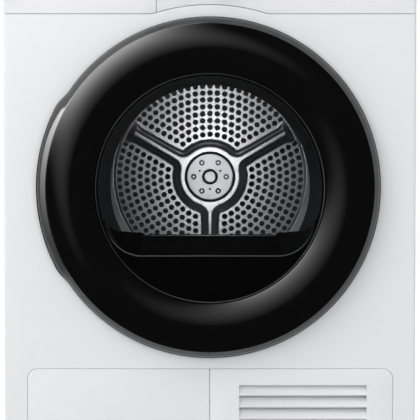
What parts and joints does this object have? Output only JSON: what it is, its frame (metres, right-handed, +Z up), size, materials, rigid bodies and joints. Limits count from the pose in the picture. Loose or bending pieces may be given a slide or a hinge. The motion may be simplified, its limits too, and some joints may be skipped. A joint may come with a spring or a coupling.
{
  "type": "clothes dryer",
  "caption": "Front-loading clothes dryer with a round glass door, perforated drum, lint filter, water tank drawer, plinth flap and vent, built from separate working pieces.",
  "frame": {"origin": "on the floor under the middle of the machine's box, with the feet screwed in", "axes": "+Z up, -Y out of the door, +X to the right of a person facing the door"},
  "size_m": [0.6, 0.64, 0.85],
  "materials": {
    "cabinet_white": "satin white enamel",
    "moulded_white": "satin white moulding",
    "worktop_white": "fine-grained white laminate",
    "galvanised": "galvanised sheet",
    "ring_black": "piano black gloss",
    "door_glass": "tinted float glass",
    "bowl_glass": "clear pressed glass",
    "mask_black": "black enamel print",
    "frame_grey": "fine-textured dark grey",
    "seal_grey": "matt grey elastomer",
    "felt_grey": "pressed felt",
    "drum_steel": "satin stainless steel",
    "hub_steel": "satin stainless steel",
    "lifter_steel": "satin stainless steel",
    "machined_steel": "machined steel",
    "collar_grey": "fine-textured dark grey",
    "filter_black": "satin black moulding",
    "filter_frame": "pale grey frame with mesh",
    "base_grey": "dark grey moulding",
    "duct_grey": "mid grey moulding",
    "foot_black": "black elastomer",
    "fin_alu": "bare fins",
    "enamel_black": "semi-gloss black enamel",
    "copper": "bare copper",
    "motor_alu": "cast and laminated",
    "belt_black": "ribbed rubber",
    "tank_plastic": "translucent white moulding",
    "lid_plastic": "pale moulding",
    "display_black": "dark display window",
    "board_green": "circuit board",
    "latch_blue": "blue moulding",
    "button_silver": "silver lacquer",
    "lamp_clear": "frosted lens"
  },
  "bodies": {
    "cabinet": {"worktop": "worktop_white", "side_left": "cabinet_white", "side_right": "cabinet_white", "front_panel": "cabinet_white", "control_panel": "moulded_white", "display_window": "display_black", "control_board": "board_green", "rear_panel": "galvanised", "duct_cover": "galvanised", "bearing_bracket": "galvanised", "base_tray": "base_grey", "levelling_feet": "foot_black", "hx_inner_cover": "base_grey", "vent_panel": "moulded_white", "hx_housing": "duct_grey", "evaporator": "fin_alu", "condenser": "fin_alu", "compressor": "enamel_black", "refrigerant_pipes": "copper", "motor": "motor_alu", "fan_scroll": "duct_grey", "drive_belt": "belt_black", "drain_pump": "base_grey", "tank_bay": "duct_grey", "door_lock": "frame_grey", "hinge_bracket": "galvanised", "filter_housing": "filter_black", "front_bulkhead": "collar_grey", "felt_seals": "felt_grey", "drum_lamp": "lamp_clear"},
    "drum": {"drum_shell": "drum_steel", "drum_back": "drum_steel", "drum_hub": "hub_steel", "drum_shaft": "machined_steel", "drum_lifters": "lifter_steel"},
    "door": {"door_ring": "ring_black", "door_glass": "door_glass", "window_mask": "mask_black", "door_frame": "frame_grey", "door_bowl": "bowl_glass", "door_gasket": "seal_grey", "hinge_leaf": "machined_steel", "hinge_pin": "machined_steel", "door_hook": "frame_grey"},
    "tank": {"water_tank": "tank_plastic", "tank_lid": "lid_plastic", "tank_front": "moulded_white"},
    "lint_filter": {"lint_filter": "filter_frame"},
    "flap": {"hx_cover": "moulded_white"},
    "latch_left": {"inner_latch_left": "latch_blue"},
    "latch_right": {"inner_latch_right": "latch_blue"},
    "dial": {"program_dial": "moulded_white"},
    "power": {"power_button": "button_silver"},
    "start": {"start_button": "button_silver"},
    "rotor": {"motor_shaft": "machined_steel", "blower_wheel": "base_grey"},
    "roller_left": {"roller_left": "foot_black"},
    "roller_right": {"roller_right": "foot_black"},
    "idler_arm": {"idler_arm": "galvanised"},
    "idler_pulley": {"idler_pulley": "base_grey"}
  },
  "joints": [
    {"name": "door_hinge", "type": "hinge", "parent": "cabinet", "child": "door", "pos_m": [0.275, -0.268, 0.473], "axis": [0, 0, 1], "range_deg": [0, 115]},
    {"name": "drum_spin", "type": "hinge", "parent": "cabinet", "child": "drum", "pos_m": [0, 0.02, 0.473], "axis": [0, 1, 0], "continuous": true},
    {"name": "motor_spin", "type": "hinge", "parent": "cabinet", "child": "rotor", "pos_m": [-0.03, 0.02, 0.115], "axis": [0, 1, 0], "continuous": true},
    {"name": "roller_left_spin", "type": "hinge", "parent": "cabinet", "child": "roller_left", "pos_m": [-0.15967, -0.148, 0.21748], "axis": [0, 1, 0], "continuous": true},
    {"name": "roller_right_spin", "type": "hinge", "parent": "cabinet", "child": "roller_right", "pos_m": [0.15967, -0.148, 0.21748], "axis": [0, 1, 0], "continuous": true},
    {"name": "idler_swing", "type": "hinge", "parent": "cabinet", "child": "idler_arm", "pos_m": [0.07, 0.03, 0.072], "axis": [0, 1, 0], "range_deg": [0, 6], "stiffness_Nm_per_rad": 1.5, "springref_deg": -28.65},
    {"name": "idler_spin", "type": "hinge", "parent": "idler_arm", "child": "idler_pulley", "pos_m": [0.02146, 0.02, 0.15995], "axis": [0, 1, 0], "continuous": true},
    {"name": "tank_slide", "type": "slide", "parent": "cabinet", "child": "tank", "axis": [0, -1, 0], "range_m": [0, 0.44]},
    {"name": "filter_lift", "type": "slide", "parent": "cabinet", "child": "lint_filter", "axis": [0, 0, -1], "range_m": [-0.16, 0]},
    {"name": "flap_hinge", "type": "hinge", "parent": "cabinet", "child": "flap", "pos_m": [-0.133, -0.272, 0.048], "axis": [1, 0, 0], "range_deg": [0, 90]},
    {"name": "latch_left_turn", "type": "hinge", "parent": "cabinet", "child": "latch_left", "pos_m": [-0.228, -0.244, 0.10904], "axis": [0, 1, 0], "range_deg": [0, 90]},
    {"name": "latch_right_turn", "type": "hinge", "parent": "cabinet", "child": "latch_right", "pos_m": [-0.08, -0.244, 0.10904], "axis": [0, 1, 0], "range_deg": [-90, 0]},
    {"name": "dial_turn", "type": "hinge", "parent": "cabinet", "child": "dial", "pos_m": [0.006, -0.28, 0.78205], "axis": [0, -1, 0], "continuous": true},
    {"name": "power_press", "type": "slide", "parent": "cabinet", "child": "power", "axis": [0, 1, 0], "range_m": [0, 0.002], "stiffness_N_per_m": 400, "springref_m": -0.002},
    {"name": "start_press", "type": "slide", "parent": "cabinet", "child": "start", "axis": [0, 1, 0], "range_m": [0, 0.002], "stiffness_N_per_m": 400, "springref_m": -0.002}
  ],
  "couplings": [
    {"joint": "motor_spin", "follows": "drum_spin", "ratio": 25.248},
    {"joint": "roller_left_spin", "follows": "drum_spin", "ratio": -16.706},
    {"joint": "roller_right_spin", "follows": "drum_spin", "ratio": -16.706},
    {"joint": "idler_spin", "follows": "drum_spin", "ratio": 23.692}
  ]
}
